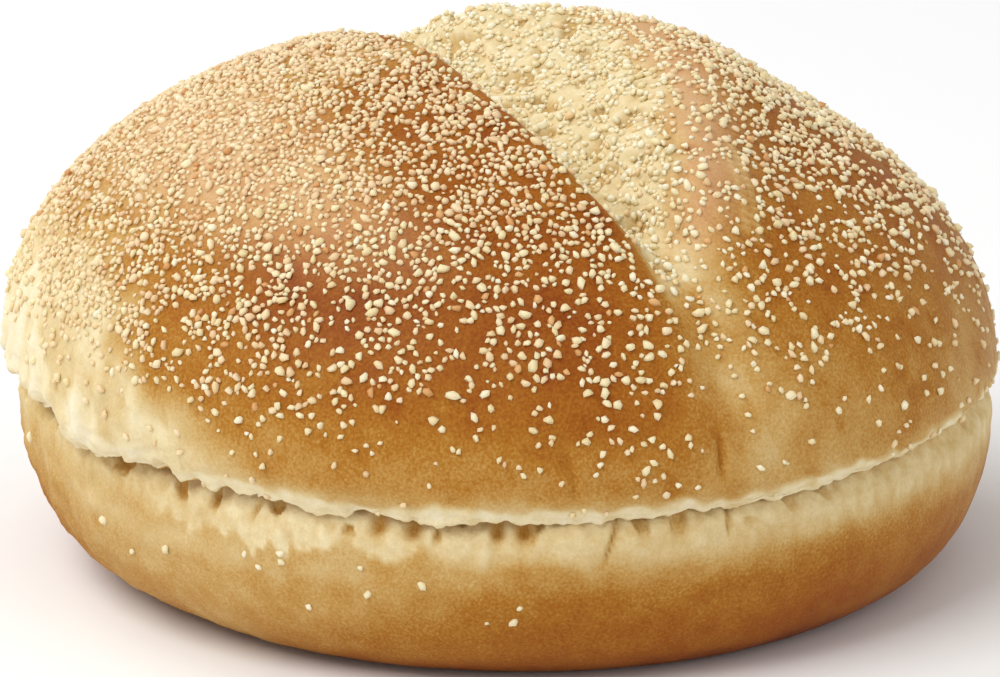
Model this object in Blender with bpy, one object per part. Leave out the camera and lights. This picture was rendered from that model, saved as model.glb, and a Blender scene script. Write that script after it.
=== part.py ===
"""A round bread roll in one piece, with a cleft across its top and a break round its side.

The roll stands on its flat base. Its origin is the middle of that base, +Z is up, and
the cleft runs along Y. Lengths are in metres and angles in radians.
"""

import math

import bmesh
import bpy
import numpy as np

MM = 0.001
NAME = "bread_roll"

# The crown is the rounded upper part. Its outline in plan is a circle of this radius.
CROWN_RADIUS = 52.4 * MM
CROWN_RISE = 33.2 * MM
WIDEST_HEIGHT = 22.4 * MM
WIDEST_TILT = 1.2 * MM
CROWN_LEAN = 0.035

# The cleft runs from one end of the Y axis to the other, bowed to one side of it.
CLEFT_BOW = 6.6 * MM
CLEFT_DEPTH = 7.0 * MM
CLEFT_FLOOR = 3.2 * MM
LIP_ROUNDING = 4.0 * MM
SLOPE_WIDTH_FRONT = 9.0 * MM
SLOPE_WIDTH_MIDDLE = 27.0 * MM
SLOPE_WIDTH_BACK = 15.0 * MM
SLOPE_CURVE = 0.6
RIDGE_SWELL = 2.0 * MM
RIDGE_WIDTH = 8.0 * MM
GROOVE_DEPTH = 1.2 * MM
GROOVE_WIDTH = 2.6 * MM

# Places along the cleft are shares of the crown's radius, from -1 in front to 1 behind.
# Each pair says where a change begins and how long it takes.
CLEFT_OPENS = (-0.90, 0.34)
CLEFT_CLOSES = (0.95, 0.90)
SLOPE_WIDENS = (-0.85, 0.90)
SLOPE_NARROWS = (-0.10, 0.60)
GROOVE_BEGINS = (0.55, 0.30)
GROOVE_ENDS = (1.0, 0.05)

# The break is the crease where the crown has lifted away from the foot. It climbs on the
# side that touched another roll, and a little on the opposite side.
BREAK_HEIGHT = 17.9 * MM
BREAK_DEPTH = 1.5 * MM
BREAK_CLIMB = 3.6 * MM
BREAK_CLIMB_SIDE = math.radians(150)
BREAK_CLIMB_WIDTH = 0.75
BREAK_RISE = 1.3 * MM
BREAK_RISE_SIDE = math.radians(-48)
BREAK_RISE_WIDTH = 0.55
CROWN_TUCK = 1.3 * MM
EDGE_ABOVE_BREAK = 0.5 * MM
FOOT_BELOW_BREAK = 1.7 * MM

# The foot is the lower wall, which curves in to the flat base. Both are a little
# flattened where the roll touched another one, and the base at one more place.
FOOT_RADIUS = 51.5 * MM
BASE_RADIUS = 39.8 * MM
FOOT_SHIFT = 0.4 * MM
BASE_SHIFT = 1.6 * MM
WALL_ROUNDNESS = 2.3
TOUCH_SIDE = math.radians(192)
TOUCH_WIDTH = 0.6
FOOT_TOUCH_FLAT = 0.6 * MM
BASE_TOUCH_FLAT = 4.6 * MM
BASE_SECOND_SIDE = math.radians(-50)
BASE_SECOND_WIDTH = 0.45
BASE_SECOND_FLAT = 2.0 * MM

# The side where the crown sits highest, and the side where the foot is fullest.
HIGH_SIDE = math.radians(153)
FULL_SIDE = math.radians(-27)

SEGMENTS = 88
SEGMENT_CROWDING = 0.25
CROWN_RINGS = 28
SKIRT_RINGS = 4
CREASE_RINGS = 6
WALL_RINGS = 10
BASE_RINGS = 5

CRUST_COLOUR = (0.50, 0.21, 0.05, 1.0)
CRUST_ROUGHNESS = 0.62


def ease(x):
    """A smooth step from 0 at x = 0 to 1 at x = 1."""
    x = np.clip(x, 0.0, 1.0)
    return x * x * x * (x * (6.0 * x - 15.0) + 10.0)


def near_side(angle, side, width):
    """How near an angle is to one side of the roll: 1 at that side, falling to 0."""
    turn = np.arctan2(np.sin(angle - side), np.cos(angle - side))
    return np.exp(-((turn / width) ** 2))


def widest_height(angle):
    """The height of the crown's widest line, which lies a little askew."""
    return WIDEST_HEIGHT + WIDEST_TILT * np.cos(angle - HIGH_SIDE)


def cleft_line(along):
    """How far the cleft lies to one side of the Y axis, for a place along it from -1 to 1."""
    return -CLEFT_BOW / CROWN_RADIUS * (1.0 - np.abs(along) ** 3)


def break_height(angle):
    """The height of the crease round the roll."""
    climb = BREAK_CLIMB * near_side(angle, BREAK_CLIMB_SIDE, BREAK_CLIMB_WIDTH)
    rise = BREAK_RISE * near_side(angle, BREAK_RISE_SIDE, BREAK_RISE_WIDTH)
    return BREAK_HEIGHT + climb + rise


def after(place, change):
    """A smooth step from 0 to 1 that begins at change's first number and takes its second."""
    begin, length = change
    return ease((place - begin) / length)


def before(place, change):
    """A smooth step from 1 to 0 that ends at change's first number and takes its second."""
    end, length = change
    return ease((end - place) / length)


def slope_width(along):
    """How far across the cleft its slope reaches, at a place along it."""
    width = SLOPE_WIDTH_FRONT + (SLOPE_WIDTH_MIDDLE - SLOPE_WIDTH_FRONT) * after(along, SLOPE_WIDENS)
    return width + (SLOPE_WIDTH_BACK - SLOPE_WIDTH_MIDDLE) * after(along, SLOPE_NARROWS)


def cleft_cut(across, along):
    """How deep the cleft is at a distance across it and a place along it."""
    width = slope_width(along)
    near_flank = ease((across + LIP_ROUNDING) / (CLEFT_FLOOR + LIP_ROUNDING))
    far_flank = 1.0 - ease((across - CLEFT_FLOOR) / (width - CLEFT_FLOOR)) ** SLOPE_CURVE
    open_part = after(along, CLEFT_OPENS) * before(along, CLEFT_CLOSES)
    cut = CLEFT_DEPTH * near_flank * far_flank * open_part
    swell = RIDGE_SWELL * np.exp(-(((across - width) / RIDGE_WIDTH) ** 2)) * open_part
    ends = after(np.abs(along), GROOVE_BEGINS) * before(np.abs(along), GROOVE_ENDS)
    groove = GROOVE_DEPTH * np.exp(-((across / GROOVE_WIDTH) ** 2)) * ends
    return cut - swell + groove


def crown_points(angle, down):
    """Points of the crown, for down of 0 at its top to 1 at its widest line."""
    reach = 0.5 * down + 0.5 * down**2
    out = np.sin(0.5 * math.pi * reach)
    x = out * np.cos(angle)
    y = out * np.sin(angle)
    chord = np.sqrt(np.maximum(1.0 - y * y, 1e-9))
    x = x + cleft_line(y) * (1.0 - np.minimum(np.abs(x) / chord, 1.0) ** 2)
    up = np.sqrt(np.maximum(1.0 - x * x - y * y, 0.0))
    across = (x - cleft_line(y)) * CROWN_RADIUS
    cut = cleft_cut(across, y)
    steep = CROWN_RADIUS / CROWN_RISE
    length = np.sqrt(x * x + y * y + (up * steep) ** 2)
    toward_high = x * math.cos(HIGH_SIDE) + y * math.sin(HIGH_SIDE)
    rise = up * CROWN_RISE * (1.0 + CROWN_LEAN * toward_high)
    height = WIDEST_HEIGHT + WIDEST_TILT * toward_high + rise
    return np.stack(
        [
            x * CROWN_RADIUS - cut * x / length,
            y * CROWN_RADIUS - cut * y / length,
            height - cut * up * steep / length,
        ],
        axis=-1,
    )


def ring_points(angle, radius, height):
    """Points round the Z axis at a radius and a height."""
    level = height + np.zeros_like(angle)
    return np.stack([radius * np.cos(angle), radius * np.sin(angle), level], axis=-1)


def skirt_points(angle, down):
    """Points of the crown below its widest line, for down of 0 there to 1 at the crease."""
    lip = break_height(angle) + EDGE_ABOVE_BREAK
    radius = CROWN_RADIUS - CROWN_TUCK * down**2.2
    top = widest_height(angle)
    height = top + (lip - top) * down
    return ring_points(angle, radius, height)


def foot_radius(angle):
    """The radius of the foot where it is fullest."""
    flat = FOOT_TOUCH_FLAT * near_side(angle, TOUCH_SIDE, TOUCH_WIDTH)
    return FOOT_RADIUS + FOOT_SHIFT * np.cos(angle - FULL_SIDE) - flat


def base_radius(angle):
    """The radius of the flat base, which is a little flattened on two sides."""
    flat = BASE_TOUCH_FLAT * near_side(angle, TOUCH_SIDE, TOUCH_WIDTH)
    flat = flat + BASE_SECOND_FLAT * near_side(angle, BASE_SECOND_SIDE, BASE_SECOND_WIDTH)
    return BASE_RADIUS + BASE_SHIFT * np.cos(angle - FULL_SIDE) - flat


def crease_points(angle, down):
    """Points in the crease, for down of 0 under the crown's edge to 1 on the foot."""
    start = CROWN_RADIUS - CROWN_TUCK
    end = foot_radius(angle)
    inward = BREAK_DEPTH * np.sin(math.pi * down) ** 1.5
    radius = start + (end - start) * ease(down) - inward
    top = EDGE_ABOVE_BREAK
    height = break_height(angle) + top - (top + FOOT_BELOW_BREAK) * down
    return ring_points(angle, radius, height)


def wall_points(angle, down):
    """Points of the foot, for down of 0 at its fullest line to 1 at the edge of the base."""
    turn = 0.5 * math.pi * down
    power = 2.0 / WALL_ROUNDNESS
    inner = base_radius(angle)
    radius = inner + (foot_radius(angle) - inner) * np.cos(turn) ** power
    height = (break_height(angle) - FOOT_BELOW_BREAK) * (1.0 - np.sin(turn) ** power)
    return ring_points(angle, radius, height)


def base_points(angle, inward):
    """Points of the flat base, for inward of 0 at its edge to 1 at its middle."""
    radius = base_radius(angle) * (1.0 - inward)
    return ring_points(angle, radius, np.zeros_like(radius))


def roll_points(angle, ring):
    """Points of the whole surface, from their angle round the roll and their ring from the top."""
    zones = (
        (crown_points, CROWN_RINGS),
        (skirt_points, SKIRT_RINGS),
        (crease_points, CREASE_RINGS),
        (wall_points, WALL_RINGS),
        (base_points, BASE_RINGS),
    )
    points = np.zeros((len(angle), 3))
    first = 0
    for zone, count in zones:
        here = ring >= first
        points[here] = zone(angle[here], np.minimum((ring[here] - first) / count, 1.0))
        first += count
    return points


def build_roll():
    """The closed body: a sphere whose rings and segments are moved onto the roll's surface."""
    ring_count = CROWN_RINGS + SKIRT_RINGS + CREASE_RINGS + WALL_RINGS + BASE_RINGS
    bm = bmesh.new()
    bmesh.ops.create_uvsphere(bm, u_segments=SEGMENTS, v_segments=ring_count, radius=1.0)
    unit = np.array([vert.co for vert in bm.verts])
    ring = np.rint(np.arccos(np.clip(unit[:, 2], -1.0, 1.0)) / math.pi * ring_count)
    even = np.arctan2(unit[:, 1], unit[:, 0])
    crowded = even + SEGMENT_CROWDING * np.sin(2.0 * even)
    for vert, point in zip(bm.verts, roll_points(crowded, ring)):
        vert.co = point
    for face in bm.faces:
        face.smooth = True
    mesh = bpy.data.meshes.new(NAME)
    bm.to_mesh(mesh)
    bm.free()
    return mesh


def crust_material():
    """Baked crust."""
    material = bpy.data.materials.new("crust")
    material.use_nodes = True
    shader = material.node_tree.nodes["Principled BSDF"]
    shader.inputs["Base Color"].default_value = CRUST_COLOUR
    shader.inputs["Roughness"].default_value = CRUST_ROUGHNESS
    return material


for old in list(bpy.data.objects):
    bpy.data.objects.remove(old)

collection = bpy.data.collections.new(NAME)
bpy.context.scene.collection.children.link(collection)
roll = bpy.data.objects.new(NAME, build_roll())
roll.data.materials.append(crust_material())
collection.objects.link(roll)
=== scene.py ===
"""The looks of the bread roll: its crust and crumb, the torn break round it, and its grits.

The crown and the foot are two closed pieces that meet inside the break. Both repeat the
shape of the CAD roll and add the relief that a baked crust has. The grits are small
separate grains, with one piece for each kind. Lengths are in metres, angles in radians.
"""

import math

import bmesh
import bpy
import numpy as np
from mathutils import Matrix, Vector, noise

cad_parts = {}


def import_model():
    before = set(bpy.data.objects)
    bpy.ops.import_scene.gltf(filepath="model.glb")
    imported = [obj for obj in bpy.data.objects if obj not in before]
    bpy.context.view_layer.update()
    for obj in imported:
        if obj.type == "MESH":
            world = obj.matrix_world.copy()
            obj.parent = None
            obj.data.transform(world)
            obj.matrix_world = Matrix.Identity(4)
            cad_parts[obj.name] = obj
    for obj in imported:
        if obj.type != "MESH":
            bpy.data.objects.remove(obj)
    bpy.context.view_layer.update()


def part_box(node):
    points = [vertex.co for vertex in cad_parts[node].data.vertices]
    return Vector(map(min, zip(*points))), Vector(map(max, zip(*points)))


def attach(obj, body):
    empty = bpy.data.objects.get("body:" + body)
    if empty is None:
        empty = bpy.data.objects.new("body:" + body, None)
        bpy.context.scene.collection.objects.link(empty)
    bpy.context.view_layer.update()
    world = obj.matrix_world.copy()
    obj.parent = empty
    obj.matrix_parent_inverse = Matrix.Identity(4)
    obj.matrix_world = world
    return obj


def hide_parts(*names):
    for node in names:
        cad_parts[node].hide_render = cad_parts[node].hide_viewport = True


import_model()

MM = 0.001
ROLL = "bread_roll"
roll_low, roll_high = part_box(ROLL)

# The crown repeats the CAD roll's shape. Its outline in plan is a circle.
CROWN_RADIUS = (roll_high.x - roll_low.x) / 2
CROWN_RISE = 32.9 * MM
WIDEST_HEIGHT = 22.4 * MM
WIDEST_TILT = 1.2 * MM
CROWN_LEAN = 0.035
HIGH_SIDE = math.radians(153)
FULL_SIDE = math.radians(-27)

# The cleft runs along Y, bowed towards -X, and its pale slope lies on the +X side.
CLEFT_BOW = 6.6 * MM
CLEFT_DEPTH = 7.0 * MM
CLEFT_FLOOR = 3.0 * MM
RIM_ROUNDING = 2.6 * MM
RIM_SHIFT = 1.1 * MM
SLOPE_WIDTH_FRONT = 9.0 * MM
SLOPE_WIDTH_MIDDLE = 27.0 * MM
SLOPE_WIDTH_BACK = 15.0 * MM
SLOPE_CURVE = 0.6
CRUMB_WIDTH = 21.0 * MM
RIDGE_SWELL = 2.0 * MM
RIDGE_WIDTH = 8.0 * MM
GROOVE_DEPTH = 1.2 * MM
GROOVE_WIDTH = 2.6 * MM

# Places along the cleft are shares of the crown's radius, from -1 in front to 1 behind.
# Each pair says where a change begins and how long it takes.
CLEFT_OPENS = (-0.90, 0.34)
CLEFT_CLOSES = (0.95, 0.90)
SLOPE_WIDENS = (-0.85, 0.90)
SLOPE_NARROWS = (-0.10, 0.60)
RIM_SHIFTS = (-0.80, 0.25)
GROOVE_BEGINS = (0.55, 0.30)
GROOVE_ENDS = (1.0, 0.05)

# The break, where the crown has lifted off the foot, and the crown's torn lower edge.
BREAK_HEIGHT = 17.9 * MM
BREAK_CLIMB = 3.6 * MM
BREAK_CLIMB_SIDE = math.radians(150)
BREAK_CLIMB_WIDTH = 0.75
BREAK_RISE = 1.3 * MM
BREAK_RISE_SIDE = math.radians(-48)
BREAK_RISE_WIDTH = 0.55
CROWN_TUCK = 1.3 * MM
LIP_ABOVE_BREAK = 1.2 * MM
LIP_CURL = 0.4 * MM
LIP_RAGGED = 0.42 * MM
OVERHANG = 2.6 * MM
SHELF_DEPTH = 1.7 * MM
SHELF_INSET = 1.9 * MM

# The foot repeats the CAD roll's wall and flat base.
FOOT_RADIUS = 51.5 * MM
BASE_RADIUS = 39.8 * MM
FOOT_SHIFT = 0.4 * MM
BASE_SHIFT = 1.6 * MM
WALL_ROUNDNESS = 2.3
TOUCH_SIDE = math.radians(192)
TOUCH_WIDTH = 0.6
FOOT_TOUCH_FLAT = 0.6 * MM
BASE_TOUCH_FLAT = 4.6 * MM
BASE_SECOND_SIDE = math.radians(-50)
BASE_SECOND_WIDTH = 0.45
BASE_SECOND_FLAT = 2.0 * MM

# The torn lip: its flare and where it hangs lowest, and the hidden surfaces behind it.
RAGGED_SIDE = math.radians(222)
RAGGED_WIDTH = 0.75
LIP_FLARE = 0.45 * MM
LIP_HANGING = 1.2 * MM
HANGING_SIDE = math.radians(186.5)
HANGING_WIDTH = 0.075
SKIRT_CURVE = 2.2
UNDERSIDE_LIFT = 1.1 * MM
SHELF_LIFT = 1.6 * MM
FOOT_TOP_LIFT = 0.4 * MM
SHELF_OUT_CURVE = 0.8
SHELF_DOWN_CURVE = 1.4

CROWN_SEGMENTS = 780
DOME_RINGS = 96
SKIRT_RINGS = 14
CURL_RINGS = 6
UNDER_RINGS = 6
HIDDEN_RINGS = 3

FOOT_SEGMENTS = 1040
SHELF_RINGS = 16
WALL_RINGS = 60
BASE_RINGS = 5

# The most browned place on the crown.
DARKEST_PLACE = np.array([-33.0, -26.0, 42.5]) * MM

# The side where the roll touched its neighbour in the oven, which left it pale and torn.
KISS_SIDE = math.radians(170)
KISS_TOP = 38.0 * MM
KISS_FADE = 34.0 * MM

# The crumb in the cleft: the middle of its length, and where it begins and closes.
CRUMB_MIDDLE = 0.15
CRUMB_BEGINS = (-0.88, 0.12)
CRUMB_CLOSES = (0.9, 0.15)

# Slits in the surface: angle in degrees, then height, length and width in mm, and lean.
TEAR = (267.3, 24.4, 3.8, 0.40, 0.1)
WRINKLE = (250.4, 23.6, 4.5, 0.35, -0.15)
SHELF_CRACKS = ((255.0, 16.4, 4.4, 0.26, 0.35), (268.8, 17.6, 3.0, 0.24, 0.1))

# Hollows under the lip: the angle of each in degrees.
SHELF_HOLLOWS = (229.0, 233.0, 242.5, 245.5)

# Small marks on the crown, along lines between places in mm.
GASH = ((-35.2, -22.2, 43.9), (-33.0, -25.0, 43.7), (-31.5, -26.2, 44.2))
PIT = ((4.8, -31.0, 49.9), (5.4, -30.8, 50.0))
STREAK = ((10.4, -30.6, 49.4), (9.5, -35.4, 46.8), (7.9, -41.0, 42.4))
BESIDE_STREAK = ((8.9, -31.0, 49.6), (8.1, -36.4, 46.4), (6.9, -40.2, 43.2))

# Broad and small lumps of the crust: amount in mm, width in mm, and row of the noise.
CROWN_LUMPS = ((0.35, 24.0, 8), (0.12, 8.0, 9), (0.045, 2.2, 10))
FOOT_LUMPS = ((0.25, 20.0, 25), (0.07, 5.0, 26), (0.04, 1.8, 27))

# Browning is 0 for pale crumb and 1 for dark brown. Each step says how much it adds,
# where it begins and how far it takes, in mm above or below the break.
LEFT_BROWNING = 0.36
LEFT_BROWNING_STEPS = ((0.16, 1.5, 3.5), (0.16, 4.0, 9.0), (0.12, 9.0, 14.0))
RIGHT_BROWNING = 0.40
RIGHT_BROWNING_STEPS = ((0.08, 2.0, 3.0), (0.20, 6.0, 18.0))
WALL_BROWNING = 0.28
WALL_BROWNING_STEPS = ((0.12, 1.5, 4.0), (0.17, 4.0, 5.0), (0.08, 8.0, 6.0))

# Grits on each square centimetre, with steps of the same kind.
LEFT_GRITS = 2.0
LEFT_GRITS_STEPS = ((11.0, 3.0, 8.0), (40.0, 9.0, 13.0), (175.0, 20.0, 11.0))
RIGHT_GRITS = 3.0
RIGHT_GRITS_STEPS = ((14.0, 6.0, 10.0), (26.0, 14.0, 10.0))
CRUMB_GRITS = 90.0
FALLEN_GRITS = 2.2

# The camera stands round from -Y towards -X and looks a little down.
CAMERA_AZIMUTH = math.radians(27)
CAMERA_ELEVATION = math.radians(16)
CAMERA_DISTANCE = 0.62
CAMERA_TARGET = Vector((-0.0002, 0.0001, 0.0227))
SEEN_WIDTH = 0.1058
SENSOR = 36.0


def linear(red, green, blue):
    """A colour given in sRGB from 0 to 255, as linear RGBA."""
    values = [channel / 255 for channel in (red, green, blue)]
    return tuple(v / 12.92 if v <= 0.04045 else ((v + 0.055) / 1.055) ** 2.4 for v in values) + (1.0,)


def ease(x):
    """A smooth step from 0 at x = 0 to 1 at x = 1."""
    x = np.clip(x, 0.0, 1.0)
    return x * x * x * (x * (6.0 * x - 15.0) + 10.0)


def turn_from(angle, side):
    """How far an angle has turned from a side of the roll, between -pi and pi."""
    return np.arctan2(np.sin(angle - side), np.cos(angle - side))


def near_side(angle, side, width):
    """How near an angle is to one side of the roll: 1 at that side, falling to 0."""
    return np.exp(-((turn_from(angle, side) / width) ** 2))


def bumps(points, size, row=0.0):
    """Smooth noise, about -1 to 1, whose lumps are as wide as size. Each row differs."""
    spots = np.asarray(points) / size + row * 17.3
    return np.array([noise.noise(spot) for spot in spots.tolist()]) * 1.6


def streaks(points, size, stretch, row=0.0):
    """Noise as bumps, drawn out up and down by stretch."""
    return bumps(points * np.array([1.0, 1.0, 1.0 / stretch]), size, row)


def around(angle, size, row=0.0):
    """Noise that depends only on the angle round the roll."""
    circle = np.stack([np.cos(angle), np.sin(angle), np.zeros_like(angle)], axis=-1)
    return bumps(circle * CROWN_RADIUS, size, row)


def lumps(points, layers):
    """Several layers of noise together, each with its amount, its width in mm and its row."""
    return sum(amount * bumps(points, size * MM, row) for amount, size, row in layers)


def stepped(start, place, steps):
    """A value that grows from start by each step's amount, in turn, along a place."""
    value = start
    for amount, begin, length in steps:
        value = value + amount * ease((place - begin) / length)
    return value


# ---------------------------------------------------------------- the roll's shape


def widest_height(angle):
    """The height of the crown's widest line, which lies a little askew."""
    return WIDEST_HEIGHT + WIDEST_TILT * np.cos(angle - HIGH_SIDE)


def cleft_line(along):
    """How far the cleft lies to one side of the Y axis, for a place along it from -1 to 1."""
    return -CLEFT_BOW / CROWN_RADIUS * (1.0 - np.abs(along) ** 3)


def break_height(angle):
    """The height of the crease round the roll."""
    climb = BREAK_CLIMB * near_side(angle, BREAK_CLIMB_SIDE, BREAK_CLIMB_WIDTH)
    rise = BREAK_RISE * near_side(angle, BREAK_RISE_SIDE, BREAK_RISE_WIDTH)
    return BREAK_HEIGHT + climb + rise


def after(place, change):
    """A smooth step from 0 to 1 that begins at change's first number and takes its second."""
    begin, length = change
    return ease((place - begin) / length)


def before(place, change):
    """A smooth step from 1 to 0 that ends at change's first number and takes its second."""
    end, length = change
    return ease((end - place) / length)


def rim_shift(along):
    """How far the rim overhangs the cleft's line, at a place along it."""
    return RIM_SHIFT * after(along, RIM_SHIFTS)


def slope_width(along):
    """How far across the cleft its slope reaches, at a place along it."""
    width = SLOPE_WIDTH_FRONT + (SLOPE_WIDTH_MIDDLE - SLOPE_WIDTH_FRONT) * after(along, SLOPE_WIDENS)
    return width + (SLOPE_WIDTH_BACK - SLOPE_WIDTH_MIDDLE) * after(along, SLOPE_NARROWS)


def cleft_cut(across, along):
    """How deep the cleft is at a distance across it and a place along it."""
    width = slope_width(along)
    from_rim = across + rim_shift(along)
    near_flank = ease((from_rim + RIM_ROUNDING) / (CLEFT_FLOOR + RIM_ROUNDING))
    far_flank = 1.0 - ease((across - CLEFT_FLOOR) / (width - CLEFT_FLOOR)) ** SLOPE_CURVE
    open_part = after(along, CLEFT_OPENS) * before(along, CLEFT_CLOSES)
    cut = CLEFT_DEPTH * near_flank * far_flank * open_part
    swell = RIDGE_SWELL * np.exp(-(((across - width) / RIDGE_WIDTH) ** 2)) * open_part
    ends = after(np.abs(along), GROOVE_BEGINS) * before(np.abs(along), GROOVE_ENDS)
    groove = GROOVE_DEPTH * np.exp(-((across / GROOVE_WIDTH) ** 2)) * ends
    return cut - swell + groove


def dome_points(angle, down):
    """Points of the crown, for down of 0 at its top to 1 at its widest line."""
    reach = 0.5 * down + 0.5 * down**2
    out = np.sin(0.5 * math.pi * reach)
    x = out * np.cos(angle)
    y = out * np.sin(angle)
    chord = np.sqrt(np.maximum(1.0 - y * y, 1e-9))
    x = x + cleft_line(y) * (1.0 - np.minimum(np.abs(x) / chord, 1.0) ** 2)
    up = np.sqrt(np.maximum(1.0 - x * x - y * y, 0.0))
    across = (x - cleft_line(y)) * CROWN_RADIUS
    cut = cleft_cut(across, y)
    steep = CROWN_RADIUS / CROWN_RISE
    length = np.sqrt(x * x + y * y + (up * steep) ** 2)
    toward_high = x * math.cos(HIGH_SIDE) + y * math.sin(HIGH_SIDE)
    rise = up * CROWN_RISE * (1.0 + CROWN_LEAN * toward_high)
    height = WIDEST_HEIGHT + WIDEST_TILT * toward_high + rise
    return np.stack(
        [
            x * CROWN_RADIUS - cut * x / length,
            y * CROWN_RADIUS - cut * y / length,
            height - cut * up * steep / length,
        ],
        axis=-1,
    )


def ring_points(angle, radius, height):
    """Points round the Z axis at a radius and a height."""
    level = height + np.zeros_like(angle)
    return np.stack([radius * np.cos(angle), radius * np.sin(angle), level], axis=-1)


def raggedness(angle):
    """How torn the crown's edge is: most at the front left, softer elsewhere."""
    return 0.4 + 0.6 * near_side(angle, RAGGED_SIDE, RAGGED_WIDTH)


def lip_height(angle):
    """The height of the crown's torn lower edge."""
    torn = around(angle, 5.0 * MM, 1) + 0.7 * around(angle, 1.7 * MM, 2)
    torn = torn + 0.5 * around(angle, 0.8 * MM, 34)
    hanging = LIP_HANGING * near_side(angle, HANGING_SIDE, HANGING_WIDTH)
    return break_height(angle) + LIP_ABOVE_BREAK + LIP_RAGGED * raggedness(angle) * torn - hanging


def lip_radius(angle):
    """The radius of the crown at its lower edge, which flares out here and there."""
    flare = LIP_FLARE * raggedness(angle) * around(angle, 7.0 * MM, 3)
    return CROWN_RADIUS - CROWN_TUCK + flare


def skirt_points(angle, down):
    """Points of the crown below its widest line, for down of 0 there to 1 at the lip."""
    radius = CROWN_RADIUS + (lip_radius(angle) - CROWN_RADIUS) * down**SKIRT_CURVE
    top = widest_height(angle)
    return ring_points(angle, radius, top + (lip_height(angle) - top) * down)


def curl_points(angle, down):
    """Points round the rounded edge of the lip, for down of 0 outside to 1 underneath."""
    turn = 0.5 * math.pi * down
    radius = lip_radius(angle) - LIP_CURL * (1.0 - np.cos(turn))
    return ring_points(angle, radius, lip_height(angle) - LIP_CURL * np.sin(turn))


def under_points(angle, down):
    """Points under the lip, for down of 0 at its edge to 1 deep in the break."""
    radius = lip_radius(angle) - LIP_CURL - OVERHANG * down
    level = break_height(angle) + UNDERSIDE_LIFT
    height = lip_height(angle) - LIP_CURL
    return ring_points(angle, radius, height + (level - height) * down)


def crown_floor_points(angle, inward):
    """Points of the hidden underside of the crown, for inward of 0 to 1 at the axis."""
    radius = (lip_radius(angle) - LIP_CURL - OVERHANG) * (1.0 - inward)
    outer = break_height(angle) + UNDERSIDE_LIFT
    return ring_points(angle, radius, outer + (BREAK_HEIGHT - outer) * inward)


def foot_radius(angle):
    """The radius of the foot where it is fullest."""
    flat = FOOT_TOUCH_FLAT * near_side(angle, TOUCH_SIDE, TOUCH_WIDTH)
    return FOOT_RADIUS + FOOT_SHIFT * np.cos(angle - FULL_SIDE) - flat


def base_radius(angle):
    """The radius of the flat base, which is a little flattened on two sides."""
    flat = BASE_TOUCH_FLAT * near_side(angle, TOUCH_SIDE, TOUCH_WIDTH)
    flat = flat + BASE_SECOND_FLAT * near_side(angle, BASE_SECOND_SIDE, BASE_SECOND_WIDTH)
    return BASE_RADIUS + BASE_SHIFT * np.cos(angle - FULL_SIDE) - flat


def foot_top_points(angle, outward):
    """Points of the hidden top of the foot, for outward of 0 at the axis to 1 in the break."""
    radius = (foot_radius(angle) - SHELF_INSET - OVERHANG) * outward
    outer = break_height(angle) + SHELF_LIFT
    middle = BREAK_HEIGHT + FOOT_TOP_LIFT
    return ring_points(angle, radius, middle + (outer - middle) * outward)


def shelf_points(angle, down):
    """Points of the pale shelf under the lip, for down of 0 in the break to 1 on the wall."""
    full = foot_radius(angle)
    turn = 0.5 * math.pi * down
    inner = full - SHELF_INSET - OVERHANG
    radius = inner + (full - inner) * np.sin(turn) ** SHELF_OUT_CURVE
    top = break_height(angle) + SHELF_LIFT
    foot = break_height(angle) - SHELF_DEPTH
    return ring_points(angle, radius, foot + (top - foot) * np.cos(turn) ** SHELF_DOWN_CURVE)


def wall_points(angle, down):
    """Points of the foot, for down of 0 at its fullest line to 1 at the edge of the base."""
    turn = 0.5 * math.pi * down
    power = 2.0 / WALL_ROUNDNESS
    inner = base_radius(angle)
    radius = inner + (foot_radius(angle) - inner) * np.cos(turn) ** power
    top = break_height(angle) - SHELF_DEPTH
    return ring_points(angle, radius, top * (1.0 - np.sin(turn) ** power))


def base_points(angle, inward):
    """Points of the flat base, for inward of 0 at its edge to 1 at its middle."""
    radius = base_radius(angle) * (1.0 - inward)
    return ring_points(angle, radius, np.zeros_like(radius))


# ---------------------------------------------------------------- meshes


def closed_surface(name, segments, zones):
    """A closed mesh of rings round the Z axis, which run over the surfaces of the zones in turn.

    Returns its object, the angle of each vertex, and its ring counted from the top.
    """
    ring_count = sum(count for zone, count in zones)
    steps = np.arange(segments)
    ring = np.concatenate([[0], np.repeat(np.arange(1, ring_count), segments), [ring_count]])
    turn = steps * (2.0 * math.pi / segments) - math.pi
    angle = np.concatenate([[0.0], np.tile(turn, ring_count - 1), [0.0]])
    points = np.zeros((len(angle), 3))
    first = 0
    for zone, count in zones:
        here = ring >= first
        points[here] = zone(angle[here], np.minimum((ring[here] - first) / count, 1.0))
        first += count

    following = (steps + 1) % segments
    upper = 1 + np.arange(ring_count - 2)[:, None] * segments
    lower = upper + segments
    quads = np.stack([upper + steps, lower + steps, lower + following, upper + following], axis=-1)
    bottom = 1 + (ring_count - 2) * segments
    top_fan = np.stack([steps * 0, 1 + steps, 1 + following], axis=-1)
    base_fan = np.stack([steps * 0 + len(angle) - 1, bottom + following, bottom + steps], axis=-1)
    mesh = bpy.data.meshes.new(name)
    faces = top_fan.tolist() + quads.reshape(-1, 4).tolist() + base_fan.tolist()
    mesh.from_pydata(points.tolist(), [], faces)
    mesh.shade_smooth()
    unwrap(mesh, angle, ring / ring_count)
    piece = bpy.data.objects.new(name, mesh)
    bpy.context.scene.collection.objects.link(piece)
    return piece, angle, ring


def vertex_values(mesh, what, width):
    """One value of every vertex of a mesh, as rows of an array."""
    values = np.zeros(len(mesh.vertices) * width, np.float32)
    mesh.vertices.foreach_get(what, values)
    return values.reshape(-1, width).astype(float)


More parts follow.
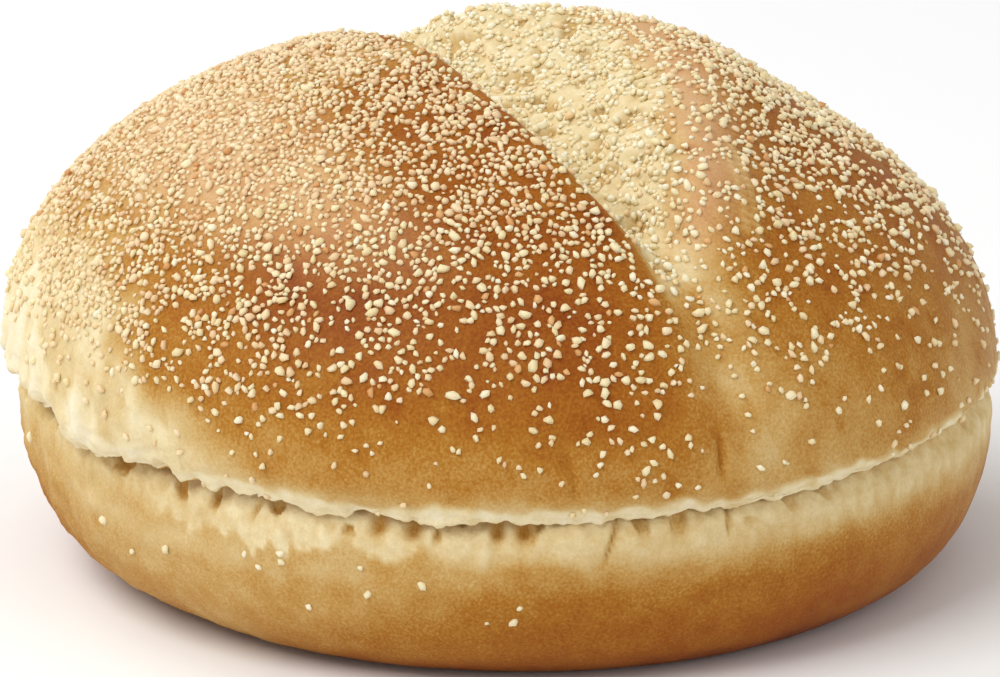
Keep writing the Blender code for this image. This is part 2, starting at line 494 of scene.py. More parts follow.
def move_vertices(mesh, points):
    """Puts the vertices of a mesh at the points."""
    mesh.vertices.foreach_set("co", points.astype(np.float32).ravel())
    mesh.update()


def loop_vertices(mesh):
    """The vertex of each corner of each face."""
    corners = np.zeros(len(mesh.loops), np.int32)
    mesh.loops.foreach_get("vertex_index", corners)
    return corners


def unwrap(mesh, angle, depth):
    """A map with the angle across it and the depth from the top down it."""
    corners = loop_vertices(mesh)
    starts = np.zeros(len(mesh.polygons), np.int32)
    totals = np.zeros(len(mesh.polygons), np.int32)
    mesh.polygons.foreach_get("loop_start", starts)
    mesh.polygons.foreach_get("loop_total", totals)
    face = np.repeat(np.arange(len(starts)), totals)
    u = angle[corners] / (2.0 * math.pi) + 0.5
    widest = np.maximum.reduceat(u, starts)
    narrowest = np.minimum.reduceat(u, starts)
    crosses = (widest - narrowest > 0.5)[face]
    u = np.where(crosses & (u < 0.5), u + 1.0, u)
    v = 1.0 - depth[corners]
    layer = mesh.uv_layers.new(name="OFBake")
    layer.data.foreach_set("uv", np.stack([u * 0.99, v], axis=-1).astype(np.float32).ravel())


def add_attribute(mesh, name, values):
    """Keeps one number for each vertex, for the material to read."""
    layer = mesh.attributes.new(name, "FLOAT", "POINT")
    layer.data.foreach_set("value", values.astype(np.float32))


def push_out(mesh, points, amount):
    """Moves each vertex along the surface's normal by an amount."""
    move_vertices(mesh, points + vertex_values(mesh, "normal", 3) * amount[:, None])


# ---------------------------------------------------------------- regions of the crust


def place_on_cleft(points):
    """How far each point is across the cleft, in metres, and along it, from -1 to 1."""
    along = np.clip(points[:, 1] / CROWN_RADIUS, -1.0, 1.0)
    return points[:, 0] - cleft_line(along) * CROWN_RADIUS, along


def crumb_edge(along):
    """How far across the cleft the pale slope reaches before its crust begins."""
    return CRUMB_WIDTH * np.maximum(1.0 - (along - CRUMB_MIDDLE) ** 2, 0.0)


def crumb_in_cleft(points, across, along):
    """1 on the pale torn slope of the cleft and 0 on the crust, with a ragged far edge."""
    ragged = 1.6 * MM * bumps(points, 5.0 * MM, 14) + 0.8 * MM * bumps(points, 1.8 * MM, 15)
    starts = ease((across + rim_shift(along) + 0.9 * MM) / (0.8 * MM))
    ends = 1.0 - ease((across - crumb_edge(along) + ragged + 3.5 * MM) / (6.0 * MM))
    open_part = after(along, CRUMB_BEGINS) * before(along, CRUMB_CLOSES)
    return starts * ends * open_part


def kissing_side(points, angle, height):
    """1 on the pale side that touched its neighbour and 0 on the browned crust."""
    edge = math.radians(12) + np.clip((KISS_TOP - height) / MM, -8.0, 20.0) * math.radians(1.25)
    edge = edge + math.radians(4.0) * bumps(points, 5.0 * MM, 16)
    off = np.abs(turn_from(angle, KISS_SIDE)) - edge
    inside = 1.0 - ease((off + math.radians(4)) / math.radians(19))
    return inside * (1.0 - ease((height - KISS_FADE) / (9.0 * MM)))


def slit(angle, height, mark):
    """1 along a thin upright slit in the surface, falling to 0 beside it."""
    side, middle, length, width, lean = mark
    off = turn_from(angle, math.radians(side)) * CROWN_RADIUS - lean * (height - middle * MM)
    ends = np.exp(-(((height - middle * MM) / (0.5 * (length * MM))) ** 4))
    return np.exp(-((off / (width * MM)) ** 2)) * ends


def near_line(points, start, end, width):
    """1 along a straight line between two places, given in millimetres, falling to 0 beside it."""
    first = np.array(start) * MM
    course = np.array(end) * MM - first
    share = np.clip((points - first) @ course / (course @ course), 0.0, 1.0)
    off = np.linalg.norm(points - first - share[:, None] * course, axis=1)
    return np.exp(-((off / width) ** 2))


# ---------------------------------------------------------------- crown and foot


def build_crown():
    """The domed upper part, with the cleft, the torn lip and the hidden underside."""
    zones = (
        (dome_points, DOME_RINGS),
        (skirt_points, SKIRT_RINGS),
        (curl_points, CURL_RINGS),
        (under_points, UNDER_RINGS),
        (crown_floor_points, HIDDEN_RINGS),
    )
    piece, angle, ring = closed_surface("roll_crown", CROWN_SEGMENTS, zones)
    mesh = piece.data
    points = vertex_values(mesh, "co", 3)
    height = points[:, 2]
    above = (height - break_height(angle)) / MM
    across, along = place_on_cleft(points)
    outside = ring <= DOME_RINGS + SKIRT_RINGS + CURL_RINGS
    crumb = crumb_in_cleft(points, across, along) * (ring <= DOME_RINGS)
    kiss = kissing_side(points, angle, height) * outside
    edge_noise = streaks(points, 2.4 * MM, 2.0, 17)
    lip = outside * (1.0 - ease((above - 1.5 - 0.6 * edge_noise) / 1.3))

    fine = bumps(points, 1.2 * MM, 4)
    middling = bumps(points, 3.4 * MM, 5)
    pockets = ease((bumps(points, 3.0 * MM, 6) - 0.30) / 0.40)
    torn = streaks(points, 2.4 * MM, 5.0, 7)
    grainy = bumps(points, 0.9 * MM, 18)
    tear = slit(angle, height, TEAR)
    wrinkle = slit(angle, height, WRINKLE)
    gash = near_line(points, GASH[0], GASH[1], 0.40 * MM)
    gash = gash + 0.7 * near_line(points, GASH[1], GASH[2], 0.35 * MM)
    pit = near_line(points, PIT[0], PIT[1], 0.55 * MM)
    streak = near_line(points, STREAK[0], STREAK[1], 0.45 * MM)
    streak = streak + near_line(points, STREAK[1], STREAK[2], 0.45 * MM)
    beside = near_line(points, BESIDE_STREAK[0], BESIDE_STREAK[1], 0.40 * MM)
    beside = beside + near_line(points, BESIDE_STREAK[1], BESIDE_STREAK[2], 0.40 * MM)
    dimples = ease((bumps(points, 2.4 * MM, 19) - 0.62) / 0.2)

    relief = lumps(points, CROWN_LUMPS) - 0.10 * dimples
    relief = relief + crumb * (0.22 * fine + 0.26 * middling + 0.16 * grainy - 0.8 * pockets)
    shreds = 0.40 * torn + 0.26 * bumps(points, 2.6 * MM, 11) + 0.14 * grainy + 0.10 * fine
    relief = relief + kiss * shreds
    relief = relief + lip * (0.16 * fine + 0.12 * torn + 0.10 * grainy + 0.04)
    relief = relief - 0.6 * tear - 0.30 * wrinkle - 0.8 * gash - 0.9 * pit
    relief = relief + 0.30 * streak + 0.22 * beside
    push_out(mesh, points, relief * MM * outside)

    bake_and_painted_light = crown_browning_and_light(points, angle, above, across, along)
    # Painted shade: the pockets of the crumb are made darker and more golden.
    bake_and_painted_light = bake_and_painted_light + (0.15 + 0.15 * pockets - 0.04 * fine - 0.03 * grainy - bake_and_painted_light) * crumb
    golden = ease((bumps(points, 6.0 * MM, 20) + 0.1) / 0.9)
    bake_and_painted_light = bake_and_painted_light + (0.07 + 0.13 * golden - 0.05 * torn - bake_and_painted_light) * kiss * 0.92
    bake_and_painted_light = bake_and_painted_light + (0.08 + 0.05 * fine - bake_and_painted_light) * lip * 0.92
    # Painted shade: the tear, the wrinkle, the gash, the pit and the dimples are sunk into the surface
    # and also made darker.
    bake_and_painted_light = bake_and_painted_light + 0.24 * tear + 0.12 * wrinkle + 0.30 * gash + 0.35 * pit + 0.06 * dimples
    bake_and_painted_light = bake_and_painted_light - 0.28 * np.clip(streak + 0.8 * beside, 0.0, 1.0)
    bake_and_painted_light = np.where(ring > DOME_RINGS + SKIRT_RINGS + CURL_RINGS, 0.5, bake_and_painted_light)
    add_attribute(mesh, "bake_and_painted_light", bake_and_painted_light)
    add_attribute(mesh, "crumb", np.clip(np.maximum(np.maximum(crumb, kiss), lip), 0.0, 1.0))
    add_attribute(mesh, "rosy_and_sheen", rosiness_and_sheen(above, across, along, crumb))
    mesh.materials.append(bread_material())
    return piece, angle, crumb, kiss


def sheen_on_upper_left(above, across):
    """How far up on the left lobe a place is, where grits lie thickest and where the crust gets a
    painted sheen of the light from the upper left.
    """
    return ease((above - 20.0) / 9.0) * ease((-14.0 * MM - across) / (14.0 * MM))


def rosiness_and_sheen(above, across, along, crumb):
    """How pink the crust is along the ridge beside the pale slope, with a painted pinkish sheen of the
    light on the upper left.
    """
    off = (across - crumb_edge(along) - 2.5 * MM) / (4.0 * MM)
    ridge = np.exp(-(off**2)) * (1.0 - crumb) * ease((along + 0.85) / 0.2) * ease((0.5 - along) / 0.3)
    # On the upper left the blush is a painted sheen of the light, not pink crust.
    return np.clip(ridge + 0.9 * sheen_on_upper_left(above, across), 0.0, 1.0)


def crown_browning_and_light(points, angle, above, across, along):
    """How browned the crust of the crown is, from 0 for pale crumb to 1 for dark brown, with a painted
    sheen on the upper left and a painted highlight along the rim.
    """
    left = stepped(LEFT_BROWNING, above, LEFT_BROWNING_STEPS)
    # Painted sheen: the crust high on the upper left is made paler in place of the light falling from
    # the upper left, and the paling of the touching side is lessened there.
    top = sheen_on_upper_left(above, across)
    left = left - 0.08 * ease((above - 25.0) / 7.0) - 0.38 * top
    left = left - 0.34 * near_side(angle, KISS_SIDE, 0.66) * (1.0 - 0.6 * top)
    from_darkest = np.linalg.norm(points - DARKEST_PLACE, axis=1)
    left = left + 0.04 * np.exp(-((from_darkest / (10.0 * MM)) ** 2))
    right = stepped(RIGHT_BROWNING, above, RIGHT_BROWNING_STEPS)
    right = right - 0.03 * near_side(angle, math.radians(275), 0.2) * ease((20.0 - above) / 8.0)
    side = ease((across + 4.0 * MM) / (8.0 * MM))
    bake_and_painted_light = left + (right - left) * side
    fold = np.exp(-(((across + 1.0 * MM) / (6.5 * MM)) ** 2)) * ease((27.0 - above) / 8.0)
    bake_and_painted_light = bake_and_painted_light - fold * (0.12 * ease((above - 2.0) / 4.0) + 0.10 * ease((above - 9.0) / 5.0))
    beyond = across - crumb_edge(along)
    tan = np.exp(-(((beyond - 0.5 * MM) / (6.5 * MM)) ** 2)) * ease((above - 14.0) / 8.0)
    bake_and_painted_light = bake_and_painted_light - 0.30 * tan * ease((across - 1.0 * MM) / (2.0 * MM))
    from_rim = across + rim_shift(along)
    # Painted highlight: a thin paler line along the rim's edge, high on the crown.
    painted_rim_highlight = np.exp(-(((from_rim + 0.9 * MM) / (0.7 * MM)) ** 2)) * ease((above - 18.0) / 4.0)
    bake_and_painted_light = bake_and_painted_light - 0.28 * painted_rim_highlight
    return bake_and_painted_light + 0.05 * bumps(points, 14.0 * MM, 12) + 0.05 * bumps(points, 4.0 * MM, 13)


def build_foot():
    """The lower part, with the pale torn shelf under the lip and the browned wall."""
    zones = (
        (foot_top_points, HIDDEN_RINGS),
        (shelf_points, SHELF_RINGS),
        (wall_points, WALL_RINGS),
        (base_points, BASE_RINGS),
    )
    piece, angle, ring = closed_surface("roll_foot", FOOT_SEGMENTS, zones)
    mesh = piece.data
    points = vertex_values(mesh, "co", 3)
    height = points[:, 2]
    below = (break_height(angle) - height) / MM
    outside = (ring > HIDDEN_RINGS) & (ring <= HIDDEN_RINGS + SHELF_RINGS + WALL_RINGS)
    outside = outside * ease(height / (1.5 * MM))

    ragged = raggedness(angle)
    wild = near_side(angle, math.radians(218), 0.36)
    kiss = near_side(angle, KISS_SIDE, 0.42)
    torn = streaks(points, 3.0 * MM, 4.0, 22)
    fine = streaks(points, 1.1 * MM, 3.0, 23)
    grainy = bumps(points, 0.8 * MM, 32)
    reach = 1.6 + 1.7 * wild + (0.5 + 1.5 * wild) * torn + (0.2 + 0.6 * wild) * fine - 0.8 * kiss
    softness = 0.6 + 3.2 * (1.0 - wild)
    patch = 1.0 - ease((below - reach) / softness)
    top = np.exp(-(((below - 0.2) / 1.2) ** 2))
    hollows = ease((bumps(ring_points(angle, CROWN_RADIUS, height * 0.5), 2.2 * MM, 24) - 0.42) / 0.25)
    hollows = hollows * top * np.clip(1.3 * ragged - 0.3, 0.0, 1.0)
    for side in SHELF_HOLLOWS:
        width = 0.011 + 0.004 * (side % 2)
        hollows = np.maximum(hollows, top * near_side(angle, math.radians(side), width))
    cracks = sum(slit(angle, height, mark) for mark in SHELF_CRACKS)

    relief = lumps(points, FOOT_LUMPS)
    relief = relief - 0.16 * patch + patch * (0.13 * torn + 0.15 * fine + 0.07 * grainy)
    relief = relief - 0.8 * hollows - 0.5 * cracks
    relief = relief + kiss * (0.32 * bumps(points, 3.2 * MM, 28) + 0.12 * grainy)
    push_out(mesh, points, relief * MM * outside)

    bake_and_painted_light = foot_browning_and_light(points, angle, below, kiss)
    pale = 0.20 - 0.05 * wild - 0.04 * fine - 0.03 * grainy
    bake_and_painted_light = bake_and_painted_light + (pale - bake_and_painted_light) * patch * (0.80 + 0.12 * wild) * (1.0 - 0.5 * kiss)
    # Painted shade: the hollows under the lip and the cracks in the shelf are made darker.
    bake_and_painted_light = bake_and_painted_light + 0.30 * hollows + 0.20 * cracks
    add_attribute(mesh, "bake_and_painted_light", np.where(outside > 0, bake_and_painted_light, 0.6))
    add_attribute(mesh, "crumb", np.clip(patch + 0.5 * kiss, 0.0, 1.0) * (outside > 0))
    add_attribute(mesh, "rosy_and_sheen", np.zeros(len(points)))
    mesh.materials.append(bread_material())
    return piece


def foot_browning_and_light(points, angle, below, kiss):
    """How browned the foot is, with painted light and shade: golden below the break, then brown, and
    dark at its bottom edge.
    """
    wall = stepped(WALL_BROWNING, below, WALL_BROWNING_STEPS)
    front_left = near_side(angle, math.radians(200), 0.50)
    # Darker just below the break at the front left.
    wall = wall + 0.08 * front_left * (1.0 - ease((below - 3.0) / 4.0))
    # Paler low on the front left: partly paler crust by the side that touched its neighbour, partly
    # painted light from the left.
    wall = wall - 0.22 * front_left * ease(below / 9.0)
    # Darker near the base: partly browner crust, partly painted shade of the underside.
    wall = wall + 0.16 * (1.0 - ease(points[:, 2] / (4.5 * MM)))
    right_front = near_side(angle, math.radians(285), 0.30)
    wall = wall + 0.08 * right_front * ease((below - 3.0) / 3.0)
    wall = wall - 0.05 * kiss
    return wall + 0.04 * bumps(points, 9.0 * MM, 29) + 0.04 * bumps(points, 3.0 * MM, 30)


# ---------------------------------------------------------------- materials


def shader_of(material):
    """The nodes, the links and the main shader of a new material."""
    material.use_nodes = True
    tree = material.node_tree
    return tree.nodes, tree.links, tree.nodes["Principled BSDF"]


def math_node(nodes, links, operation, first, second):
    """A Math node that joins two values, each an output or a number."""
    node = nodes.new("ShaderNodeMath")
    node.operation = operation
    for socket, value in zip(node.inputs, (first, second)):
        if isinstance(value, (int, float)):
            socket.default_value = value
        else:
            links.new(value, socket)
    return node.outputs[0]


def noise_node(nodes, size, detail):
    """A Noise node in object space whose lumps are about as wide as size."""
    node = nodes.new("ShaderNodeTexNoise")
    node.inputs["Scale"].default_value = 1.0 / size
    node.inputs["Detail"].default_value = detail
    return node


def attribute_node(nodes, name):
    """The output of a number kept for each vertex."""
    node = nodes.new("ShaderNodeAttribute")
    node.attribute_name = name
    return node.outputs["Fac"]


BAKE_COLOURS = (
    (0.00, linear(241, 231, 203)),
    (0.12, linear(230, 213, 170)),
    (0.25, linear(211, 183, 128)),
    (0.40, linear(192, 149, 80)),
    (0.55, linear(172, 115, 36)),
    (0.70, linear(156, 90, 18)),
    (0.85, linear(140, 69, 9)),
    (1.00, linear(108, 46, 6)),
)
# The pink of the crust by the ridge, also laid on the upper left as a painted sheen.
ROSY_AND_SHEEN_COLOUR = linear(221, 172, 138)


def bread_material():
    """Crust and crumb: browning, with painted light and shade added to it, sets the colour, and crumb
    is rougher and more torn.
    """
    material = bpy.data.materials.get("bread")
    if material:
        return material
    material = bpy.data.materials.new("bread")
    nodes, links, shader = shader_of(material)
    place = nodes.new("ShaderNodeTexCoord").outputs["Object"]
    bake_and_painted_light = attribute_node(nodes, "bake_and_painted_light")
    crumb = attribute_node(nodes, "crumb")
    rosy_and_sheen = attribute_node(nodes, "rosy_and_sheen")

    mottle = noise_node(nodes, 2.4 * MM, 3.0)
    speckle = noise_node(nodes, 0.30 * MM, 3.0)
    grain = noise_node(nodes, 0.34 * MM, 3.0)
    pores = nodes.new("ShaderNodeTexVoronoi")
    pores.inputs["Scale"].default_value = 1.0 / (1.1 * MM)
    for node in (mottle, speckle, grain, pores):
        links.new(place, node.inputs["Vector"])

    broad = math_node(nodes, links, "SUBTRACT", mottle.outputs["Fac"], 0.5)
    fine = math_node(nodes, links, "SUBTRACT", speckle.outputs["Fac"], 0.5)
    shade = math_node(nodes, links, "MULTIPLY", broad, 0.16)
    depth = nodes.new("ShaderNodeMapRange")
    depth.inputs["From Min"].default_value = 0.22
    depth.inputs["From Max"].default_value = 0.60
    depth.inputs["To Min"].default_value = 0.10
    depth.inputs["To Max"].default_value = 0.50
    links.new(bake_and_painted_light, depth.inputs["Value"])
    speckled = math_node(nodes, links, "MULTIPLY", fine, depth.outputs["Result"])
    shade = math_node(nodes, links, "ADD", shade, speckled)
    browning = math_node(nodes, links, "ADD", bake_and_painted_light, shade)

    ramp = nodes.new("ShaderNodeValToRGB")
    stops = ramp.color_ramp.elements
    for index, (position, colour) in enumerate(BAKE_COLOURS):
        stop = stops[index] if index < 2 else stops.new(position)
        stop.position = position
        stop.color = colour
    links.new(browning, ramp.inputs["Fac"])
    # The blush mixes in the pink of the ridge and the painted sheen on the upper left.
    blush_and_sheen = nodes.new("ShaderNodeMix")
    blush_and_sheen.data_type = "RGBA"
    links.new(math_node(nodes, links, "MULTIPLY", rosy_and_sheen, 0.48), blush_and_sheen.inputs["Factor"])
    links.new(ramp.outputs["Color"], blush_and_sheen.inputs["A"])
    blush_and_sheen.inputs["B"].default_value = ROSY_AND_SHEEN_COLOUR
    links.new(blush_and_sheen.outputs["Result"], shader.inputs["Base Color"])

    rough = nodes.new("ShaderNodeMapRange")
    rough.inputs["To Min"].default_value = 0.52
    rough.inputs["To Max"].default_value = 0.78
    links.new(crumb, rough.inputs["Value"])
    links.new(rough.outputs["Result"], shader.inputs["Roughness"])

    crust_bump = nodes.new("ShaderNodeBump")
    crust_bump.inputs["Strength"].default_value = 0.6
    crust_bump.inputs["Distance"].default_value = 0.12 * MM
    links.new(grain.outputs["Fac"], crust_bump.inputs["Height"])
    crumb_bump = nodes.new("ShaderNodeBump")
    crumb_bump.inputs["Distance"].default_value = 0.12 * MM
    links.new(crumb, crumb_bump.inputs["Strength"])
    links.new(pores.outputs["Distance"], crumb_bump.inputs["Height"])
    links.new(crust_bump.outputs["Normal"], crumb_bump.inputs["Normal"])
    links.new(crumb_bump.outputs["Normal"], shader.inputs["Normal"])

    shader.inputs["Subsurface Weight"].default_value = 0.10
    shader.inputs["Subsurface Radius"].default_value = (1.0, 0.7, 0.4)
    shader.inputs["Subsurface Scale"].default_value = 1.0 * MM
    shader.inputs["Specular IOR Level"].default_value = 0.14
    return material


def grit_material(name, dark, light):
    """One kind of grit: each grain has its own tone between two colours."""
    material = bpy.data.materials.new(name)
    nodes, links, shader = shader_of(material)
    ramp = nodes.new("ShaderNodeValToRGB")
    ramp.color_ramp.elements[0].color = dark
    ramp.color_ramp.elements[1].color = light
    links.new(attribute_node(nodes, "tone"), ramp.inputs["Fac"])
    links.new(ramp.outputs["Color"], shader.inputs["Base Color"])
    shader.inputs["Roughness"].default_value = 0.55
    shader.inputs["Subsurface Weight"].default_value = 0.15
    shader.inputs["Subsurface Radius"].default_value = (1.0, 0.8, 0.5)
    shader.inputs["Subsurface Scale"].default_value = 1.0 * MM
    return material


# ---------------------------------------------------------------- grits

GRAIN_SHAPES = 14
GRAIN_CORNERS = 16
GRIT_SIZE = 0.68 * MM
GRIT_SPREAD = 0.24
SMALLEST_GRIT = 0.5
LARGEST_GRIT = 1.6
GRIT_TIGHTNESS = 0.41
GRAIN_UNEVENNESS = 0.19
GRAIN_PROPORTIONS = (0.50, 0.45, 0.40)
TRIES_FOR_EACH = 2.4
MOST_TRIES = 60000

# Each kind of grit: its darkest and lightest colours, and how far its grains are sunk.
GRIT_KINDS = {
    "grits_toasted": (linear(206, 148, 88), linear(222, 172, 112), 0.24),
    "grits_tan": (linear(222, 184, 136), linear(240, 213, 172), 0.18),
    "grits_golden": (linear(230, 200, 150), linear(244, 222, 181), 0.15),
    "grits_cream": (linear(230, 208, 156), linear(244, 228, 184), 0.12),
    "grits_pale": (linear(234, 218, 172), linear(248, 236, 202), 0.12),
    "grits_white": (linear(234, 222, 182), linear(248, 240, 212), 0.14),
}


def grain_shape(rng):
    """One rounded uneven grain, about 1 across: the hull of points spread over a flattened ball."""
    steps = np.arange(GRAIN_CORNERS) + 0.5
    level = 1.0 - 2.0 * steps / GRAIN_CORNERS
    turn = steps * math.pi * (3.0 - math.sqrt(5.0))
    flat = np.sqrt(1.0 - level**2)
    spread = np.stack([flat * np.cos(turn), flat * np.sin(turn), level], axis=-1)
    spread = spread + rng.normal(0.0, GRAIN_UNEVENNESS, spread.shape)
    spread = spread * np.array(GRAIN_PROPORTIONS)
    bm = bmesh.new()
    for point in spread:
        bm.verts.new(point)
    hull = bmesh.ops.convex_hull(bm, input=bm.verts)
    loose = [item for item in hull["geom_interior"] if isinstance(item, bmesh.types.BMVert)]
    bmesh.ops.delete(bm, geom=loose, context="VERTS")
    bmesh.ops.recalc_face_normals(bm, faces=bm.faces)
    bm.verts.index_update()
    corners = np.array([vert.co for vert in bm.verts])
    faces = np.array([[vert.index for vert in face.verts] for face in bm.faces])
    bm.free()
    return corners, faces


def grit_density(points, angle, crumb):
    """How many grits lie on each square centimetre of the crown, at each point."""
    across, along = place_on_cleft(points)
    above = (points[:, 2] - break_height(angle)) / MM
    left = stepped(LEFT_GRITS, above, LEFT_GRITS_STEPS)
    left = left + 150.0 * near_side(angle, math.radians(180), 0.62) * ease((above - 9.0) / 8.0)
    near_rim = ease((across + rim_shift(along) + 5.0 * MM) / (3.5 * MM))
    left = left * (1.0 - 0.88 * near_rim)
    right = stepped(RIGHT_GRITS, above, RIGHT_GRITS_STEPS)
    right = right + 90.0 * ease((above - 24.0) / 7.0) * ease((across - 14.0 * MM) / (10.0 * MM))
    side = ease((across + rim_shift(along) + 1.0 * MM) / (2.0 * MM))
    density = left + (right - left) * side
    density = density + (CRUMB_GRITS - density) * crumb
    clumps = 1.0 + 0.8 * bumps(points, 3.6 * MM, 31) + 0.9 * bumps(points, 1.5 * MM, 33)
    return np.clip(density * np.clip(clumps, 0.12, 2.2), 0.0, None)


def scatter_places(piece, density, rng):
    """Random places on a piece, no two grains overlapping much, and each one's size."""
    mesh = piece.data
    corners = loop_vertices(mesh)
    starts = np.zeros(len(mesh.polygons), np.int32)
    areas = np.zeros(len(mesh.polygons), np.float32)
    mesh.polygons.foreach_get("loop_start", starts)
    mesh.polygons.foreach_get("area", areas)
    wanted = density[corners[starts]] * areas * 1e4
    tries = min(int(wanted.sum() * TRIES_FOR_EACH), MOST_TRIES)
    faces = rng.choice(len(starts), size=tries, p=wanted / wanted.sum())
    share = rng.dirichlet((1.0, 1.0, 1.0), size=tries)
    points = vertex_values(mesh, "co", 3)
    normals = vertex_values(mesh, "normal", 3)
    trio = np.stack([corners[starts[faces] + step] for step in range(3)], axis=-1)
    spots = (points[trio] * share[:, :, None]).sum(axis=1)
    up = (normals[trio] * share[:, :, None]).sum(axis=1)
    sizes = rng.lognormal(0.0, GRIT_SPREAD, tries)
    sizes = GRIT_SIZE * np.clip(sizes, SMALLEST_GRIT, LARGEST_GRIT)
    cells = {}
    kept = []
    cell = 1.3 * GRIT_SIZE
    for index, spot in enumerate(spots):
        home = tuple(np.floor(spot / cell).astype(int))
        close = [
            other
            for dx in (-1, 0, 1)
            for dy in (-1, 0, 1)
            for dz in (-1, 0, 1)
            for other in cells.get((home[0] + dx, home[1] + dy, home[2] + dz), ())
        ]
        if any(
            np.dot(spot - spots[o], spot - spots[o]) < (GRIT_TIGHTNESS * (sizes[index] + sizes[o])) ** 2
            for o in close
        ):
            continue
        cells.setdefault(home, []).append(index)
        kept.append(index)
    return spots[kept], up[kept], sizes[kept], corners[starts[faces[kept]]]


def grit_kinds(points, angle, crumb, kiss, rng):
    """Which kind of grit each place has, as an index into GRIT_KINDS."""
    across = place_on_cleft(points)[0]
    above = (points[:, 2] - break_height(angle)) / MM
    left = ease((-2.0 * MM - across) / (6.0 * MM))
    toasting = left * np.maximum(ease((above - 23.0) / 8.0), near_side(angle, KISS_SIDE, 0.8))
    right = ease((across - 2.0 * MM) / (8.0 * MM)) * (1.0 - crumb)
    weights = np.stack(
        [
            (0.03 + 0.05 * toasting) * (1.0 - kiss) * (1.0 - crumb),
            (0.07 + 0.45 * toasting) * (1.0 - kiss) * (1.0 - crumb) + 0.08 * right,
            0.24 + 0.55 * toasting + 0.30 * kiss,
            0.52 - 0.30 * toasting - 0.20 * crumb,
            0.16 - 0.12 * toasting + 0.40 * crumb + 0.20 * right,
            0.01 + 0.90 * crumb + 0.02 * right,
        ],
        axis=-1,
    )
    edges = np.cumsum(weights / weights.sum(axis=1)[:, None], axis=1)
    return (rng.random(len(points))[:, None] > edges).sum(axis=1).clip(0, len(GRIT_KINDS) - 1)


def grit_piece(name, spots, up, sizes, shapes, rng):
    """All the grits of one kind, as one mesh of separate grains."""
    dark, light, sunk = GRIT_KINDS[name]
    all_points = []
    all_faces = []
    all_tones = []
    all_cells = []
    start = 0
    for spot, normal, size in zip(spots, up, sizes):
        corners, faces = shapes[rng.integers(len(shapes))]
        normal = normal / np.linalg.norm(normal) + rng.normal(0.0, 0.22, 3)
        normal = normal / np.linalg.norm(normal)
        side = np.cross(normal, rng.normal(size=3))
        side = side / np.linalg.norm(side)
        axes = np.stack([side, np.cross(normal, side), normal])
        stretch = np.array([rng.uniform(1.0, 1.35), 1.0, rng.uniform(0.9, 1.1)])
        grain = (corners * stretch * size) @ axes
        rise = size * (0.5 - sunk - rng.uniform(0.0, 0.28)) * 0.74
        all_points.append(grain + spot + normal * rise)
        all_faces.append(faces + start)
        all_tones.append(np.full(len(corners), rng.random()))
        start += len(corners)
        all_cells.append(len(faces))
    points = np.concatenate(all_points)
    faces = np.concatenate(all_faces)
    mesh = bpy.data.meshes.new(name)
    mesh.from_pydata(points.tolist(), [], faces.tolist())
    mesh.shade_smooth()
    add_attribute(mesh, "tone", np.concatenate(all_tones))
    unwrap_grains(mesh, all_cells)
    mesh.materials.append(grit_material(name, dark, light))
    piece = bpy.data.objects.new(name, mesh)
    bpy.context.scene.collection.objects.link(piece)
    return piece


def unwrap_grains(mesh, face_counts):
    """A map in which each grain has a small square of its own, as it has one tone."""
    across = math.ceil(math.sqrt(len(face_counts)))
    grain = np.repeat(np.arange(len(face_counts)), np.array(face_counts) * 3)
    corner = np.tile(np.array([[0.2, 0.2], [0.8, 0.2], [0.5, 0.8]]), (len(grain) // 3, 1))
    cell = np.stack([grain % across, grain // across], axis=-1)
    layer = mesh.uv_layers.new(name="OFBake")
    layer.data.foreach_set("uv", ((cell + corner) / across).astype(np.float32).ravel())


def fallen_grits(foot, rng):
    """The places of the few grits that lie on the foot, at the front left."""
    points = vertex_values(foot.data, "co", 3)
    angle = np.arctan2(points[:, 1], points[:, 0])
    below = (break_height(angle) - points[:, 2]) / MM
    near = near_side(angle, math.radians(215), 0.5)
    near = near * ease((below - 2.5) / 2.0) * ease((12.0 - below) / 4.0)
    return scatter_places(foot, FALLEN_GRITS * near, rng)[:3]


def build_grits(crown, foot, angle, crumb, kiss):
    """Every grit on the roll, as one piece for each kind."""
    rng = np.random.default_rng(404)
    shapes = [grain_shape(rng) for _ in range(GRAIN_SHAPES)]
    points = vertex_values(crown.data, "co", 3)
    density = grit_density(points, angle, crumb)
    shown = points[:, 2] > break_height(angle) + 0.9 * MM
    inner = np.hypot(points[:, 0], points[:, 1]) < CROWN_RADIUS - 4.0 * MM
    shown &= ~(inner & (points[:, 2] < 24.0 * MM))
    spots, up, sizes, nearest = scatter_places(crown, density * shown, rng)
    kinds = grit_kinds(spots, angle[nearest], crumb[nearest], kiss[nearest], rng)
    low_spots, low_up, low_sizes = fallen_grits(foot, rng)
    spots = np.concatenate([spots, low_spots])
    up = np.concatenate([up, low_up])
    sizes = np.concatenate([sizes, low_sizes])
    pale = list(GRIT_KINDS).index("grits_pale")
    kinds = np.concatenate([kinds, np.full(len(low_spots), pale)])
    pieces = []
    for index, name in enumerate(GRIT_KINDS):
        mine = kinds == index
        pieces.append(grit_piece(name, spots[mine], up[mine], sizes[mine], shapes, rng))
    return pieces


# ---------------------------------------------------------------- floor, light and camera


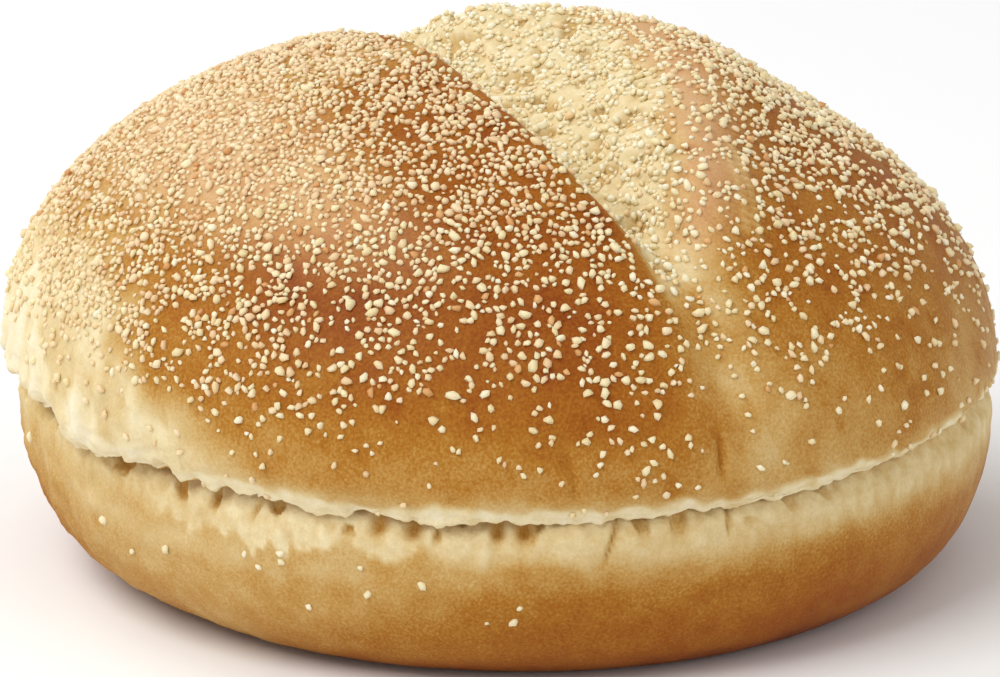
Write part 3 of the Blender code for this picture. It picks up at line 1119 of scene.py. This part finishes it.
def build_stage():
    """A plain pale floor, soft white light from above and a little fill, and a white world."""
    bpy.ops.mesh.primitive_plane_add(size=6.0, location=(0.0, 0.0, 0.0))
    floor = bpy.context.object
    floor.name = "floor"
    material = bpy.data.materials.new("floor")
    shader = shader_of(material)[2]
    shader.inputs["Base Color"].default_value = linear(246, 246, 246)
    shader.inputs["Roughness"].default_value = 0.9
    floor.data.materials.append(material)

    world = bpy.data.worlds.new("studio")
    world.use_nodes = True
    world.node_tree.nodes["Background"].inputs["Strength"].default_value = 0.58
    world.node_tree.nodes["Background"].inputs["Color"].default_value = (1.0, 1.0, 1.0, 1.0)
    bpy.context.scene.world = world

    soft_light("key", Vector((-0.70, -0.20, 0.90)), 0.75, 7.4)
    soft_light("back", Vector((-0.30, 0.80, 0.70)), 0.6, 3.2)
    soft_light("fill", Vector((0.55, -0.75, 0.40)), 0.8, 1.2)


def soft_light(name, place, size, power):
    """A square white lamp that faces the roll."""
    lamp = bpy.data.lights.new(name, "AREA")
    lamp.size = size
    lamp.energy = power
    holder = bpy.data.objects.new(name, lamp)
    holder.location = place
    holder.rotation_euler = (CAMERA_TARGET - place).to_track_quat("-Z", "Y").to_euler()
    bpy.context.scene.collection.objects.link(holder)


def build_camera():
    """The camera, from the front left and a little above the roll."""
    camera = bpy.data.cameras.new("camera")
    holder = bpy.data.objects.new("camera", camera)
    bpy.context.scene.collection.objects.link(holder)
    level = math.cos(CAMERA_ELEVATION)
    away = Vector(
        (
            -math.sin(CAMERA_AZIMUTH) * level,
            -math.cos(CAMERA_AZIMUTH) * level,
            math.sin(CAMERA_ELEVATION),
        )
    )
    holder.location = CAMERA_TARGET + away * CAMERA_DISTANCE
    holder.rotation_euler = (-away).to_track_quat("-Z", "Y").to_euler()
    camera.sensor_width = SENSOR
    camera.lens = SENSOR * CAMERA_DISTANCE / SEEN_WIDTH
    camera.clip_start = 0.01
    bpy.context.scene.camera = holder


bpy.context.scene.view_settings.view_transform = "Standard"
build_stage()
build_camera()

crown, crown_angle, crown_crumb, crown_kiss = build_crown()
foot = build_foot()
for bread in (crown, foot):
    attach(bread, "root")
    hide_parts(ROLL)

for grits in build_grits(crown, foot, crown_angle, crown_crumb, crown_kiss):
    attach(grits, "root")
    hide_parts(ROLL)
